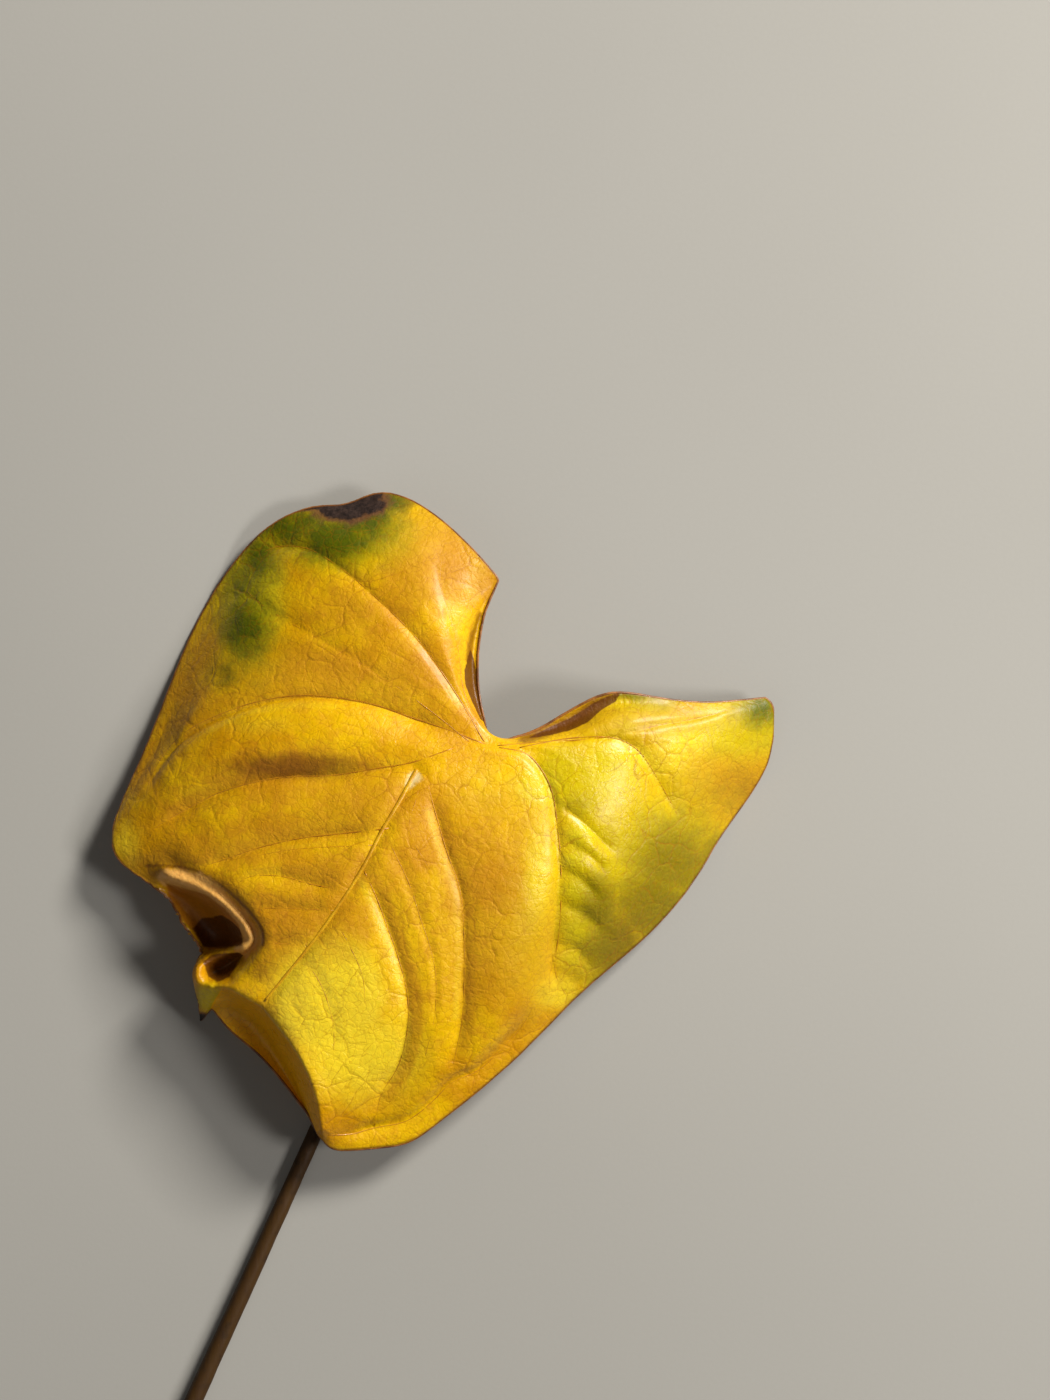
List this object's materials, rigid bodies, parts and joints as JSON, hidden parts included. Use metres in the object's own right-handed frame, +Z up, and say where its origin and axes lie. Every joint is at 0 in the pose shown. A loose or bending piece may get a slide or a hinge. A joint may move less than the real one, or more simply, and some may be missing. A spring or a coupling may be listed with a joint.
{
  "type": "anthurium leaf",
  "caption": "Heart-shaped anthurium leaf, yellowing and glossy, with a domed blade, arching veins, a curled side, a folded drip tip and a thin dark petiole.",
  "frame": {"origin": "centre of the bounding box in X and Y, at the surface the leaf lies on", "axes": "+Z up from the surface; the petiole's cut end points towards -Y and the two lobes of the blade towards +Y"},
  "size_m": [0.1804, 0.2684, 0.0352],
  "materials": {
    "leaf_blade": "glossy, veined, golden yellow with green and brown patches",
    "petiole": "satin dark brown"
  },
  "bodies": {
    "root": {"leaf_blade": "leaf_blade", "petiole": "petiole"}
  },
  "joints": []
}
